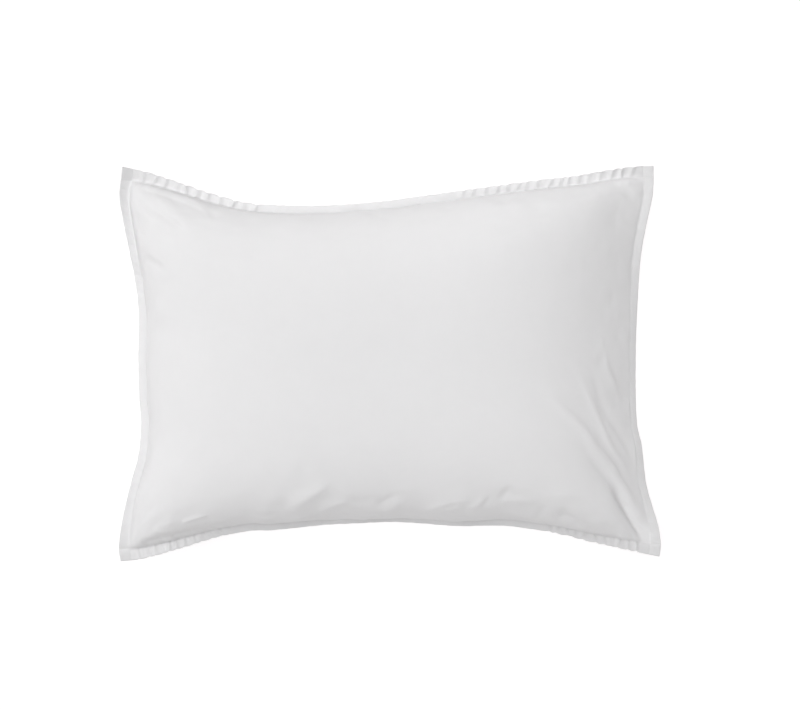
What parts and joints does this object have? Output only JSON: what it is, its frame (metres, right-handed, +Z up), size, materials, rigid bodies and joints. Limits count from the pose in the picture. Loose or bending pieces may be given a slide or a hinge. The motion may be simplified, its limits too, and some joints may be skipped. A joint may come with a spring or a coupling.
{
  "type": "filled pillowcase",
  "caption": "Plump white cotton percale pillowcase with a narrow topstitched flange all round, filled by its pillow and lying on its back.",
  "frame": {"origin": "on the surface that the pillowcase lies on, under the middle of its outline", "axes": "+X along the long sides, +Y along the short sides, +Z up, out of the front panel"},
  "size_m": [0.672, 0.4894, 0.1812],
  "materials": {
    "white_cotton": "matt plain-woven cotton percale"
  },
  "bodies": {
    "root": {"pillowcase": "white_cotton"}
  },
  "joints": []
}
